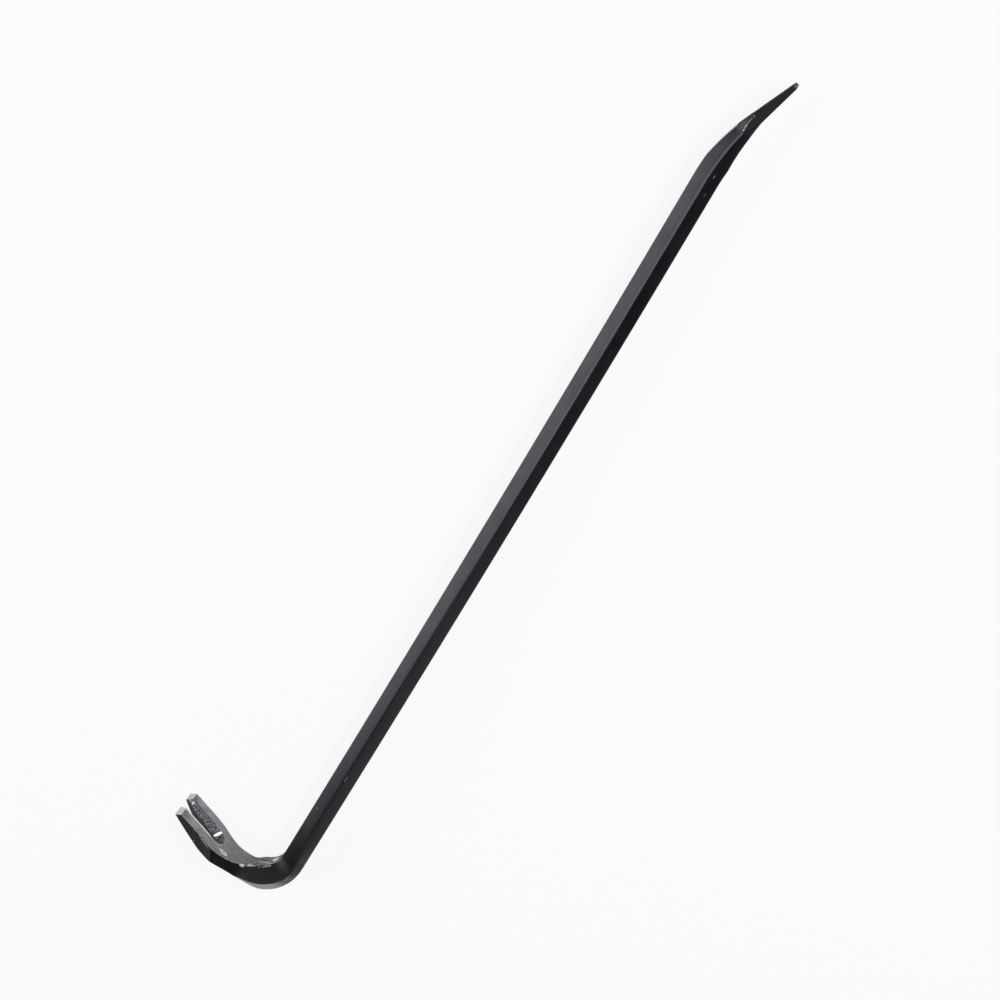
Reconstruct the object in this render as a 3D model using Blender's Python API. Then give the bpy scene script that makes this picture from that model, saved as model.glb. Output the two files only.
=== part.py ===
"""Claw bar: one forging drawn from a length of hexagonal steel bar.

A straight hexagonal shank runs into a flattened, swept chisel at one end and into a
gooseneck hook with a nail claw at the other. The bar lies on the flat side of its claw:
+X runs along the shank towards the chisel, +Y is the side the hook opens to, +Z is up.
"""

import math

import bmesh
import bpy
from mathutils import Vector

MM = 0.001

# Hexagonal stock
ACROSS_FLATS = 22.2 * MM
SHANK_LENGTH = 753.3 * MM
CORNER_LAND = 1.2 * MM
EDGE_BREAK = 0.6 * MM

# Chisel end, lengths measured back from its tip
CHISEL_TAPER_LENGTH = 88.8 * MM
CHISEL_FACET_START = 55.2 * MM
CHISEL_FACET_FULL = 38.5 * MM
CHISEL_STRAIGHT = 32.6 * MM
CHISEL_SWEEP_RADIUS = 215.5 * MM
CHISEL_SWEEP_ANGLE = math.radians(19.4)
CHISEL_ROOT_THICKNESS = 14.5 * MM
CHISEL_BLADE_THICKNESS = 9.1 * MM
CHISEL_TIP_THICKNESS = 3.0 * MM
CHISEL_WIDTH = 27.0 * MM
CHISEL_END_SLANT = 0.7 * MM

# Gooseneck: a tight bend, then a long sweep into the straight prongs
BEND_RADIUS = 35.1 * MM
BEND_ANGLE = math.radians(87.4)
SWEEP_RADIUS = 102.0 * MM
SWEEP_ANGLE = math.radians(27.5)
PRONG_LENGTH = 38.7 * MM
BULGE_SHARE = 0.66
BULGE_THICKNESS = 27.4 * MM
BULGE_FLAT_WIDTH = 14.7 * MM
NECK_THICKNESS = 17.3 * MM
NECK_FLAT_WIDTH = 19.9 * MM
NECK_HOLLOW = 3.5 * MM
RIDGE_DRIFT_LENGTH = 45.0 * MM
RIDGE_DRIFT = 3.4 * MM
BULGE_RIDGE_DRIFT = 4.4 * MM
RIDGE_RUNOUT = 8.0 * MM

# Claw
CLAW_WIDTH = 45.0 * MM
CLAW_THICKNESS = 11.8 * MM
CLAW_SWELL = 0.5 * MM
CLAW_TIP_THICKNESS = 4.8 * MM
CLAW_END_SLANT = 3.5 * MM
SHOULDER_LENGTH = 46.2 * MM
SHOULDER_SLANT = 8.0 * MM

# Nail slot, lengths measured back from the claw's tip
SLOT_LENGTH = 54.0 * MM
SLOT_MOUTH_WIDTH = 19.2 * MM
SLOT_OFFSET = 1.5 * MM
SLOT_TIP_GAP = 14.4 * MM
SLOT_THROAT_GAP = 5.4 * MM
SLOT_FUNNEL_LENGTH = 12.0 * MM
SLOT_BEVEL_SHARE = 0.6
SLOT_BEVEL_FOOT = 2.2 * MM
SLOT_OVERRUN = 6.0 * MM

# Fineness of the facets
BEND_STEP = 2.4 * MM
TAPER_STEP = 5.0 * MM
SLOT_ARC_STEPS = 12

ENAMEL_COLOUR = (0.018, 0.018, 0.020, 1.0)
ENAMEL_ROUGHNESS = 0.38


def clear_scene():
    for thing in list(bpy.data.objects):
        bpy.data.objects.remove(thing, do_unlink=True)


def enamel():
    """Thin black enamel over forged steel."""
    material = bpy.data.materials.new("black_enamel")
    material.use_nodes = True
    shader = material.node_tree.nodes["Principled BSDF"]
    shader.inputs["Base Color"].default_value = ENAMEL_COLOUR
    shader.inputs["Roughness"].default_value = ENAMEL_ROUGHNESS
    shader.inputs["Metallic"].default_value = 0.0
    return material


# Centre line of the bar, from the chisel's tip to the claw's tip

LEGS = (
    (CHISEL_STRAIGHT, 0.0),
    (CHISEL_SWEEP_RADIUS * CHISEL_SWEEP_ANGLE, CHISEL_SWEEP_ANGLE),
    (SHANK_LENGTH, 0.0),
    (BEND_RADIUS * BEND_ANGLE, -BEND_ANGLE),
    (SWEEP_RADIUS * SWEEP_ANGLE, -SWEEP_ANGLE),
    (PRONG_LENGTH, 0.0),
)


def leg_end(count):
    return sum(length for length, turn in LEGS[:count])


SHANK_START = leg_end(2)
BEND_START = leg_end(3)
BULGE = BEND_START + BULGE_SHARE * BEND_RADIUS * BEND_ANGLE
BEND_END = leg_end(4)
RIDGE_END = BEND_END + RIDGE_RUNOUT
SWEEP_END = leg_end(5)
CLAW_TIP = leg_end(6)
SHOULDER = CLAW_TIP - SHOULDER_LENGTH
SHOULDER_BACK = SHOULDER - SHOULDER_SLANT


def centre_line(s):
    """Point, direction of travel and direction towards the hook's inside at length s."""
    heading = math.pi - CHISEL_SWEEP_ANGLE
    point = Vector((0.0, 0.0, 0.0))
    for index, (length, turn) in enumerate(LEGS):
        last = index == len(LEGS) - 1
        run = s if last else min(s, length)
        if turn:
            bent = heading + turn * run / length
            radius = length / turn
            point.x += radius * (math.sin(bent) - math.sin(heading))
            point.y -= radius * (math.cos(bent) - math.cos(heading))
            heading = bent
        else:
            point.x += run * math.cos(heading)
            point.y += run * math.sin(heading)
        s -= run
        if s <= 0.0 and not last:
            break
    ahead = Vector((math.cos(heading), math.sin(heading), 0.0))
    inward = Vector((math.sin(heading), -math.cos(heading), 0.0))
    return point, ahead, inward


def straight_between(knots, s):
    """Value at s on straight lines through (place, value) knots."""
    for (s0, v0), (s1, v1) in zip(knots, knots[1:]):
        if s <= s1:
            share = max(0.0, (s - s0) / (s1 - s0))
            return v0 + share * (v1 - v0)
    return knots[-1][1]


def knot_slopes(knots):
    """Slope at each knot that keeps a smooth curve from overshooting its knots."""
    rises = [(v1 - v0) / (s1 - s0) for (s0, v0), (s1, v1) in zip(knots, knots[1:])]
    slopes = [0.0]
    for before, after in zip(rises, rises[1:]):
        same_way = before * after > 0.0
        slopes.append(2.0 * before * after / (before + after) if same_way else 0.0)
    return slopes + [rises[-1]]


def smooth_between(knots, s):
    """Value at s on a smooth curve through (place, value) knots, level at its start."""
    slopes = knot_slopes(knots)
    for (s0, v0), (s1, v1), m0, m1 in zip(knots, knots[1:], slopes, slopes[1:]):
        if s <= s1:
            span = s1 - s0
            t = max(0.0, (s - s0) / span)
            lift = v0 * (1 + 2 * t) * (1 - t) ** 2 + v1 * t * t * (3 - 2 * t)
            lean = m0 * t * (1 - t) ** 2 + m1 * t * t * (t - 1)
            return lift + span * lean
    return knots[-1][1]


# Cross section, as heights towards the hook's inside and half widths across it

CORNER_RADIUS = ACROSS_FLATS / math.sqrt(3.0)
STOCK_FLAT = CORNER_RADIUS / 2
STOCK_SIDE = CORNER_RADIUS - CORNER_LAND / 2 * math.tan(math.radians(30))


def chisel_section(s):
    """Thickness, the flats' half width, the side's half width and the side's two heights."""
    taper = (
        (0.0, CHISEL_TIP_THICKNESS),
        (CHISEL_FACET_FULL, CHISEL_BLADE_THICKNESS),
        (CHISEL_FACET_START, CHISEL_ROOT_THICKNESS),
        (CHISEL_TAPER_LENGTH, ACROSS_FLATS),
    )
    thickness = straight_between(taper, s)
    root_flat = CORNER_RADIUS - CHISEL_ROOT_THICKNESS / 2 * math.tan(math.radians(30))
    flats = (
        (0.0, CHISEL_WIDTH / 2),
        (CHISEL_FACET_FULL, max(CHISEL_WIDTH / 2 - EDGE_BREAK / 2, STOCK_SIDE)),
        (CHISEL_FACET_START, root_flat),
        (CHISEL_TAPER_LENGTH, STOCK_FLAT),
    )
    flat = straight_between(flats, s)
    side = max(flat, STOCK_SIDE)
    land = thickness - 3 * edge_break(thickness)
    sides = ((0.0, 1.0), (CHISEL_FACET_FULL, 1.0), (CHISEL_FACET_START, 0.0))
    spread = straight_between(sides, s)
    half_land = (CORNER_LAND + spread * (land - CORNER_LAND)) / 2
    return thickness, flat, flat, side, half_land, -half_land


def edge_break(thickness):
    """Width of the worn edge, narrower where the metal is thin."""
    return min(EDGE_BREAK, thickness / 5)


def prong_thickness(s):
    """Thickness of the prongs, slightly swollen between the bend and their tip."""
    left = (CLAW_TIP - s) / PRONG_LENGTH
    taper = CLAW_TIP_THICKNESS + left * (CLAW_THICKNESS - CLAW_TIP_THICKNESS)
    return taper + 4 * CLAW_SWELL * left * (1.0 - left)


def hook_section(s):
    """Thickness, inner and outer flats' half widths, the side's half width and heights."""
    thickness = smooth_between((
        (BEND_START, ACROSS_FLATS),
        (BULGE, BULGE_THICKNESS),
        (BEND_END, NECK_THICKNESS),
        ((BEND_END + SWEEP_END) / 2, (CLAW_THICKNESS + NECK_THICKNESS) / 2 - NECK_HOLLOW),
        (SWEEP_END, CLAW_THICKNESS),
    ), s)
    if s > SWEEP_END:
        thickness = prong_thickness(s)
    worn = edge_break(thickness)
    inner_flat = smooth_between((
        (BEND_START, STOCK_FLAT),
        (BULGE, BULGE_FLAT_WIDTH / 2),
        (BEND_END, NECK_FLAT_WIDTH / 2),
        (SHOULDER, CLAW_WIDTH / 2),
    ), s)
    side = smooth_between((
        (BEND_END, STOCK_SIDE),
        (SHOULDER_BACK, CLAW_WIDTH / 2),
    ), s)
    side = max(side, inner_flat)
    outer_flat = straight_between((
        (BULGE, STOCK_FLAT),
        (RIDGE_END, side),
    ), s)
    # The side edge drifts towards the back of the bend until it meets the outer flat
    ridge = smooth_between((
        (BEND_START - RIDGE_DRIFT_LENGTH, 0.0),
        (BEND_START, -RIDGE_DRIFT),
        (BULGE, -BULGE_RIDGE_DRIFT),
        (RIDGE_END, -BULGE_RIDGE_DRIFT - 1.0 * MM),
    ), s)
    back = -thickness / 2 + 1.5 * worn
    low = max(ridge - CORNER_LAND / 2, back)
    if s > RIDGE_END:
        low = back
    rise = straight_between(((SHOULDER_BACK, 0.0), (SHOULDER, 1.0)), s)
    top = thickness / 2 - 1.5 * worn
    high = low + CORNER_LAND + rise * (top - low - CORNER_LAND)
    return thickness, inner_flat, outer_flat, side, min(high, top), low


def section_corners(s):
    """The twelve corners of the cut across the bar at s, as (height, half width)."""
    if s < SHANK_START:
        values = chisel_section(s)
    else:
        values = hook_section(s)
    thickness, inner_flat, outer_flat, side, high, low = values
    worn = edge_break(thickness)
    inner = Vector((thickness / 2, inner_flat))
    outer = Vector((-thickness / 2, outer_flat))
    side_high = Vector((high, side))
    side_low = Vector((low, side))
    down = (side_high - inner).normalized()
    up = (side_low - outer).normalized()
    right = [
        Vector((thickness / 2, inner_flat - worn)),
        inner + down * min(worn, (side_high - inner).length / 2),
        side_high,
        side_low,
        outer + up * min(worn, (side_low - outer).length / 2),
        Vector((-thickness / 2, outer_flat - worn)),
    ]
    left = [Vector((corner.x, -corner.y)) for corner in reversed(right)]
    return right + left


def slant(s, height):
    """How far a corner of an end face stands back from the end."""
    if s <= 0.0:
        return CHISEL_END_SLANT * (0.5 + height / CHISEL_TIP_THICKNESS)
    if s >= CLAW_TIP:
        return -CLAW_END_SLANT * (0.5 + height / CLAW_TIP_THICKNESS)
    return 0.0


def section_points(s):
    point, ahead, inward = centre_line(s)
    across = Vector((0.0, 0.0, 1.0))
    return [
        point + ahead * slant(s, height) + inward * height + across * width
        for height, width in section_corners(s)
    ]


def stations():
    """Places along the bar where its section is set, close together where it changes."""
    spans = (
        (0.0, CHISEL_FACET_FULL, TAPER_STEP),
        (CHISEL_FACET_FULL, CHISEL_FACET_START, TAPER_STEP),
        (CHISEL_FACET_START, CHISEL_TAPER_LENGTH, TAPER_STEP),
        (CHISEL_TAPER_LENGTH, SHANK_START, TAPER_STEP),
        (SHANK_START, BEND_START - RIDGE_DRIFT_LENGTH, SHANK_LENGTH),
        (BEND_START - RIDGE_DRIFT_LENGTH, BEND_START, TAPER_STEP),
        (BEND_START, BULGE, BEND_STEP),
        (BULGE, BEND_END, BEND_STEP),
        (BEND_END, RIDGE_END, BEND_STEP),
        (RIDGE_END, SHOULDER_BACK, BEND_STEP),
        (SHOULDER_BACK, SHOULDER, BEND_STEP),
        (SHOULDER, CLAW_TIP - CLAW_END_SLANT, TAPER_STEP),
    )
    places = []
    for start, end, step in spans:
        count = max(1, math.ceil((end - start) / step))
        places += [start + (end - start) * i / count for i in range(count)]
    return places + [CLAW_TIP - CLAW_END_SLANT, CLAW_TIP]


def loft(rings, name):
    """One closed solid: the first ring's face is extruded from ring to ring."""
    bm = bmesh.new()
    start = bm.faces.new([bm.verts.new(point) for point in rings[0]])
    end = start
    for ring in rings[1:]:
        grown = bmesh.ops.extrude_face_region(bm, geom=[end])["geom"]
        if end is not start:
            bm.faces.remove(end)
        end = next(part for part in grown if isinstance(part, bmesh.types.BMFace))
        for vert, point in zip(end.verts, ring):
            vert.co = point
    bmesh.ops.recalc_face_normals(bm, faces=bm.faces)
    mesh = bpy.data.meshes.new(name)
    bm.to_mesh(mesh)
    bm.free()
    solid = bpy.data.objects.new(name, mesh)
    bpy.context.scene.collection.objects.link(solid)
    return solid


# Nail slot: bevelled walls that close from a wide mouth to a narrow throat

def slot_half_width(depth_share, back):
    """Half the slot's width, at a share of the thickness from the inner face."""
    throat = straight_between((
        (0.0, SLOT_TIP_GAP / 2),
        (SLOT_FUNNEL_LENGTH, SLOT_THROAT_GAP / 2),
    ), back)
    foot = throat + SLOT_BEVEL_FOOT * (1.0 - depth_share) / (1.0 - SLOT_BEVEL_SHARE)
    mouth = SLOT_MOUTH_WIDTH / 2
    if depth_share >= SLOT_BEVEL_SHARE:
        return min(mouth, throat if depth_share >= 1.0 else foot)
    full_foot = min(mouth, throat + SLOT_BEVEL_FOOT)
    return mouth + depth_share / SLOT_BEVEL_SHARE * (full_foot - mouth)


def slot_outline(depth_share):
    """The slot's outline on one level, as (distance back from the tip, half width)."""
    root = SLOT_LENGTH - SLOT_MOUTH_WIDTH / 2
    turns = (-SLOT_OVERRUN, 0.0, SLOT_FUNNEL_LENGTH, SLOT_FUNNEL_LENGTH * 2, root)
    wall = [(back, slot_half_width(depth_share, max(back, 0.0))) for back in turns]
    radius = slot_half_width(depth_share, root)
    arc = []
    for step in range(1, SLOT_ARC_STEPS):
        angle = math.pi * step / SLOT_ARC_STEPS
        arc.append((root + radius * math.sin(angle), radius * math.cos(angle)))
    other = [(back, -width) for back, width in reversed(wall)]
    return wall + arc + other


def slot_level(depth_share):
    """The slot's outline laid at a share of the thickness between the claw's faces."""
    across = Vector((0.0, 0.0, 1.0))
    level = []
    for back, width in slot_outline(depth_share):
        s = CLAW_TIP - back
        point, ahead, inward = centre_line(s)
        height = hook_section(s)[0] * (0.5 - depth_share)
        level.append(point + inward * height + across * (width - SLOT_OFFSET))
    return level


def slot_cutter():
    above = -0.8
    below = 1.8
    levels = (above, 0.0, SLOT_BEVEL_SHARE, 1.0, below)
    cutter = loft([slot_level(share) for share in levels], "nail_slot_cutter")
    cutter.hide_render = True
    cutter.display_type = "WIRE"
    return cutter


def set_on_origin(solids):
    """Put the origin under the middle of the lying bar."""
    points = [vert.co for vert in solids[0].data.vertices]
    lows = [min(point[axis] for point in points) for axis in range(3)]
    highs = [max(point[axis] for point in points) for axis in range(3)]
    shift = Vector(((lows[0] + highs[0]) / 2, (lows[1] + highs[1]) / 2, lows[2]))
    for solid in solids:
        for vert in solid.data.vertices:
            vert.co -= shift


def build():
    clear_scene()
    bar = loft([section_points(s) for s in stations()], "forged_bar")
    cutter = slot_cutter()
    set_on_origin([bar, cutter])
    bar.data.materials.append(enamel())
    bar.data.shade_smooth()
    bar.data.set_sharp_from_angle(angle=math.radians(20))
    slot = bar.modifiers.new("nail_slot", "BOOLEAN")
    slot.operation = "DIFFERENCE"
    slot.solver = "EXACT"
    slot.object = cutter


build()
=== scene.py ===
"""Claw bar: one black enamelled forging of hexagonal steel bar, lying on a white floor."""
import math

import bmesh
import bpy
from mathutils import Matrix, Vector, noise


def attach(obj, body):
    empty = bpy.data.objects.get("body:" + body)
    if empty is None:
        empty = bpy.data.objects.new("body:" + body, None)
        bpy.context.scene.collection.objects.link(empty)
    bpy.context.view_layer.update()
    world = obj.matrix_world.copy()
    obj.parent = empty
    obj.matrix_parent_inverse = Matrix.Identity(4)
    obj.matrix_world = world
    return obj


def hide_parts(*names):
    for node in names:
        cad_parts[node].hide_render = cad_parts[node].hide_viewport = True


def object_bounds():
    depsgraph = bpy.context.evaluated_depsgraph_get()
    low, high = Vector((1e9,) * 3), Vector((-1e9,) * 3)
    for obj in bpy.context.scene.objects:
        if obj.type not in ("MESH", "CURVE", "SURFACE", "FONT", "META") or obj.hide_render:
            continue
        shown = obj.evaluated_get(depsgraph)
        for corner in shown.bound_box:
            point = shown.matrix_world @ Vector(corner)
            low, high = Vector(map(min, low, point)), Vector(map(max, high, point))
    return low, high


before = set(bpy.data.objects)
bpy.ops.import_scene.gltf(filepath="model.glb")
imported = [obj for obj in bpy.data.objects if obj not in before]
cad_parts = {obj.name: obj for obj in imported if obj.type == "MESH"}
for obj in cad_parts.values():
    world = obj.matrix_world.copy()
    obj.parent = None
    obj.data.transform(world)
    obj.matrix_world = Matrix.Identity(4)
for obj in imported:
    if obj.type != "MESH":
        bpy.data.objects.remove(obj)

cad_box = [list(corner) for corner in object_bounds()]

# Forged bar, body
# One length of hexagonal bar, heated and forged: a gooseneck hook with a nail claw at one
# end and a flattened, swept chisel at the other. The corners are rounded by the rolling mill
# and by wear. This first part shapes it from chisel tip to claw tip without the nail slot.
MM = 0.001
ACROSS_FLATS = 22.2 * MM
SHANK_LENGTH = 753.28 * MM  # 0.02 mm under the solid's, for the bends' finer facets
CORNER_LAND = 1.2 * MM
EDGE_ROUND = 0.6 * MM
CHISEL_TAPER_LENGTH = 88.8 * MM
CHISEL_FACET_START = 55.2 * MM
CHISEL_FACET_FULL = 38.5 * MM
CHISEL_STRAIGHT = 32.6 * MM
CHISEL_SWEEP_RADIUS = 215.5 * MM
CHISEL_SWEEP_ANGLE = math.radians(19.4)
CHISEL_ROOT_THICKNESS = 14.5 * MM
CHISEL_BLADE_THICKNESS = 9.1 * MM
CHISEL_TIP_THICKNESS = 3.0 * MM
CHISEL_WIDTH = 27.0 * MM
CHISEL_END_SLANT = 0.7 * MM
BEND_RADIUS = 35.1 * MM
BEND_ANGLE = math.radians(87.4)
SWEEP_RADIUS = 102.0 * MM
SWEEP_ANGLE = math.radians(27.5)
PRONG_LENGTH = 38.7 * MM
BULGE_SHARE = 0.66
BULGE_THICKNESS = 27.4 * MM
BULGE_FLAT_WIDTH = 14.7 * MM
NECK_THICKNESS = 17.3 * MM
NECK_FLAT_WIDTH = 19.9 * MM
NECK_HOLLOW = 3.5 * MM
RIDGE_DRIFT_LENGTH = 45.0 * MM
RIDGE_DRIFT = 3.4 * MM
BULGE_RIDGE_DRIFT = 4.4 * MM
RIDGE_RUNOUT = 8.0 * MM
RIDGE_RUNOUT_DRIFT = 1.0 * MM
CLAW_WIDTH = 45.0 * MM
CLAW_THICKNESS = 11.8 * MM
CLAW_SWELL = 0.5 * MM
CLAW_TIP_THICKNESS = 4.8 * MM
CLAW_END_SLANT = 3.5 * MM
SHOULDER_LENGTH = 46.2 * MM
SHOULDER_SLANT = 8.0 * MM
SHANK_BOW = 1.7 * MM
HEEL_BEFORE_BEND = 8.0 * MM
HEEL_PAST_RIDGE = 12.0 * MM

LEGS = (
    (CHISEL_STRAIGHT, 0.0),
    (CHISEL_SWEEP_RADIUS * CHISEL_SWEEP_ANGLE, CHISEL_SWEEP_ANGLE),
    (SHANK_LENGTH, 0.0),
    (BEND_RADIUS * BEND_ANGLE, -BEND_ANGLE),
    (SWEEP_RADIUS * SWEEP_ANGLE, -SWEEP_ANGLE),
    (PRONG_LENGTH, 0.0),
)
ends = [sum(length for length, turn in LEGS[:count]) for count in range(len(LEGS) + 1)]
SHANK_START, BEND_START, BEND_END, SWEEP_END, CLAW_TIP = ends[2:]
BULGE = BEND_START + BULGE_SHARE * (BEND_END - BEND_START)
RIDGE_END = BEND_END + RIDGE_RUNOUT
SHOULDER = CLAW_TIP - SHOULDER_LENGTH
SHOULDER_BACK = SHOULDER - SHOULDER_SLANT
HEEL_START = BEND_START - HEEL_BEFORE_BEND
HEEL_END = RIDGE_END + HEEL_PAST_RIDGE
ACROSS = Vector((0.0, 0.0, 1.0))


def centre_line(s):
    """Point, direction of travel and direction towards the hook's inside at length s."""
    heading = math.pi - CHISEL_SWEEP_ANGLE
    point = Vector((0.0, 0.0, 0.0))
    for index, (length, turn) in enumerate(LEGS):
        last = index == len(LEGS) - 1
        run = s if last else min(s, length)
        if turn:
            bent = heading + turn * run / length
            radius = length / turn
            point.x += radius * (math.sin(bent) - math.sin(heading))
            point.y -= radius * (math.cos(bent) - math.cos(heading))
            heading = bent
        else:
            point.x += run * math.cos(heading)
            point.y += run * math.sin(heading)
        s -= run
        if s <= 0.0 and not last:
            break
    ahead = Vector((math.cos(heading), math.sin(heading), 0.0))
    inward = Vector((math.sin(heading), -math.cos(heading), 0.0))
    return point, ahead, inward


def shank_bow(s):
    """How far a long life of levering has bent the shank's middle towards its back."""
    share = min(max((s - SHANK_START) / SHANK_LENGTH, 0.0), 1.0)
    return SHANK_BOW * 4.0 * share * (1.0 - share)


def straight_between(knots, s):
    """Value at s on straight lines through (place, value) knots."""
    for (s0, v0), (s1, v1) in zip(knots, knots[1:]):
        if s <= s1:
            share = max(0.0, (s - s0) / (s1 - s0))
            return v0 + share * (v1 - v0)
    return knots[-1][1]


def smooth_between(knots, s):
    """Value at s on a smooth curve through (place, value) knots, level at its start."""
    rises = [(v1 - v0) / (s1 - s0) for (s0, v0), (s1, v1) in zip(knots, knots[1:])]
    slopes = [0.0]
    for before, after in zip(rises, rises[1:]):
        same_way = before * after > 0.0
        slopes.append(2.0 * before * after / (before + after) if same_way else 0.0)
    slopes.append(rises[-1])
    for (s0, v0), (s1, v1), m0, m1 in zip(knots, knots[1:], slopes, slopes[1:]):
        if s <= s1:
            span = s1 - s0
            t = max(0.0, (s - s0) / span)
            lift = v0 * (1 + 2 * t) * (1 - t) ** 2 + v1 * t * t * (3 - 2 * t)
            lean = m0 * t * (1 - t) ** 2 + m1 * t * t * (t - 1)
            return lift + span * lean
    return knots[-1][1]


HEX_SLOPE = math.tan(math.radians(30))
CORNER_RADIUS = ACROSS_FLATS / math.sqrt(3.0)
STOCK_FLAT = CORNER_RADIUS / 2
STOCK_SIDE = CORNER_RADIUS - CORNER_LAND / 2 * HEX_SLOPE


def chisel_section(s):
    """Thickness, the flats' half widths, the side's half width and the side's two heights."""
    thickness = straight_between((
        (0.0, CHISEL_TIP_THICKNESS),
        (CHISEL_FACET_FULL, CHISEL_BLADE_THICKNESS),
        (CHISEL_FACET_START, CHISEL_ROOT_THICKNESS),
        (CHISEL_TAPER_LENGTH, ACROSS_FLATS),
    ), s)
    root_flat = CORNER_RADIUS - CHISEL_ROOT_THICKNESS / 2 * HEX_SLOPE
    flat = straight_between((
        (0.0, CHISEL_WIDTH / 2),
        (CHISEL_FACET_FULL, max(CHISEL_WIDTH / 2 - EDGE_ROUND / 2, STOCK_SIDE)),
        (CHISEL_FACET_START, root_flat),
        (CHISEL_TAPER_LENGTH, STOCK_FLAT),
    ), s)
    side = max(flat, STOCK_SIDE)
    land = thickness - 3 * edge_round(thickness)
    sides = ((0.0, 1.0), (CHISEL_FACET_FULL, 1.0), (CHISEL_FACET_START, 0.0))
    half_land = (CORNER_LAND + straight_between(sides, s) * (land - CORNER_LAND)) / 2
    return thickness, flat, flat, side, half_land, -half_land


def edge_round(thickness):
    """The size of a corner's round, smaller where the bar is thin."""
    return min(EDGE_ROUND, thickness / 5)


def prong_thickness(s):
    """A prong's thickness: a taper to its tip with a slight swell between."""
    left = (CLAW_TIP - s) / PRONG_LENGTH
    taper = CLAW_TIP_THICKNESS + left * (CLAW_THICKNESS - CLAW_TIP_THICKNESS)
    return taper + 4 * CLAW_SWELL * left * (1.0 - left)


def hook_section(s):
    """Thickness, inner and outer flats' half widths, the side's half width and heights."""
    thickness = smooth_between((
        (BEND_START, ACROSS_FLATS),
        (BULGE, BULGE_THICKNESS),
        (BEND_END, NECK_THICKNESS),
        ((BEND_END + SWEEP_END) / 2, (CLAW_THICKNESS + NECK_THICKNESS) / 2 - NECK_HOLLOW),
        (SWEEP_END, CLAW_THICKNESS),
    ), s)
    if s > SWEEP_END:
        thickness = prong_thickness(s)
    inner_flat = smooth_between((
        (BEND_START, STOCK_FLAT),
        (BULGE, BULGE_FLAT_WIDTH / 2),
        (BEND_END, NECK_FLAT_WIDTH / 2),
        (SHOULDER, CLAW_WIDTH / 2),
    ), s)
    side = smooth_between(((BEND_END, STOCK_SIDE), (SHOULDER_BACK, CLAW_WIDTH / 2)), s)
    side = max(side, inner_flat)
    outer_flat = straight_between(((BULGE, STOCK_FLAT), (RIDGE_END, side)), s)
    ridge = smooth_between((
        (BEND_START - RIDGE_DRIFT_LENGTH, 0.0),
        (BEND_START, -RIDGE_DRIFT),
        (BULGE, -BULGE_RIDGE_DRIFT),
        (RIDGE_END, -BULGE_RIDGE_DRIFT - RIDGE_RUNOUT_DRIFT),
    ), s)
    edge = edge_round(thickness)
    back = -thickness / 2 + 1.5 * edge
    low = back if s > RIDGE_END else max(ridge - CORNER_LAND / 2, back)
    rise = straight_between(((SHOULDER_BACK, 0.0), (SHOULDER, 1.0)), s)
    top = thickness / 2 - 1.5 * edge
    high = low + CORNER_LAND + rise * (top - low - CORNER_LAND)
    return thickness, inner_flat, outer_flat, side, min(high, top), low


MOST_OF_SIDE = 0.45  # of a side goes into one round, so that two always leave some flat
ROUND_POINTS = (5, 3, 3, 5)


def rounded(before, corner, after, size, count):
    """A corner of the section as an arc of points that starts and ends size away from it."""
    back, on = before - corner, after - corner
    start = corner + back.normalized() * min(size, back.length * MOST_OF_SIDE)
    end = corner + on.normalized() * min(size, on.length * MOST_OF_SIDE)
    arc = []
    for step in range(count):
        t = step / (count - 1)
        arc.append(start * (1 - t) ** 2 + corner * 2 * t * (1 - t) + end * t * t)
    return arc


def section_corners(s):
    """The cut across the bar at s, as (height, half width) points."""
    values = chisel_section(s) if s < SHANK_START else hook_section(s)
    thickness, inner_flat, outer_flat, side, high, low = values
    edge = edge_round(thickness)
    corners = [
        Vector((thickness / 2, 0.0)),
        Vector((thickness / 2, inner_flat)),
        Vector((high, side)),
        Vector((low, side)),
        Vector((-thickness / 2, outer_flat)),
        Vector((-thickness / 2, 0.0)),
    ]
    right = []
    for index, count in enumerate(ROUND_POINTS, 1):
        before, corner, after = corners[index - 1:index + 2]
        right += rounded(before, corner, after, edge, count)
    left = [Vector((corner.x, -corner.y)) for corner in reversed(right)]
    return right + left


def slant(s, height):
    """How far a corner of an end face stands back from the end."""
    if s <= 0.0:
        return CHISEL_END_SLANT * (0.5 + height / CHISEL_TIP_THICKNESS)
    if s >= CLAW_TIP:
        return -CLAW_END_SLANT * (0.5 + height / CLAW_TIP_THICKNESS)
    return 0.0


def section_points(s):
    """The cut across the bar at s, in place."""
    point, ahead, inward = centre_line(s)
    point.y -= shank_bow(s)
    return [
        point + ahead * slant(s, height) + inward * height + ACROSS * width
        for height, width in section_corners(s)
    ]


CHISEL_LIP = CHISEL_END_SLANT + 1.0 * MM
DRIFT_START = BEND_START - RIDGE_DRIFT_LENGTH
SHANK_STEP = 20.0 * MM
TAPER_STEP = 3.0 * MM
PRONG_STEP = 2.5 * MM
BEND_STEP = 1.5 * MM


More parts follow.
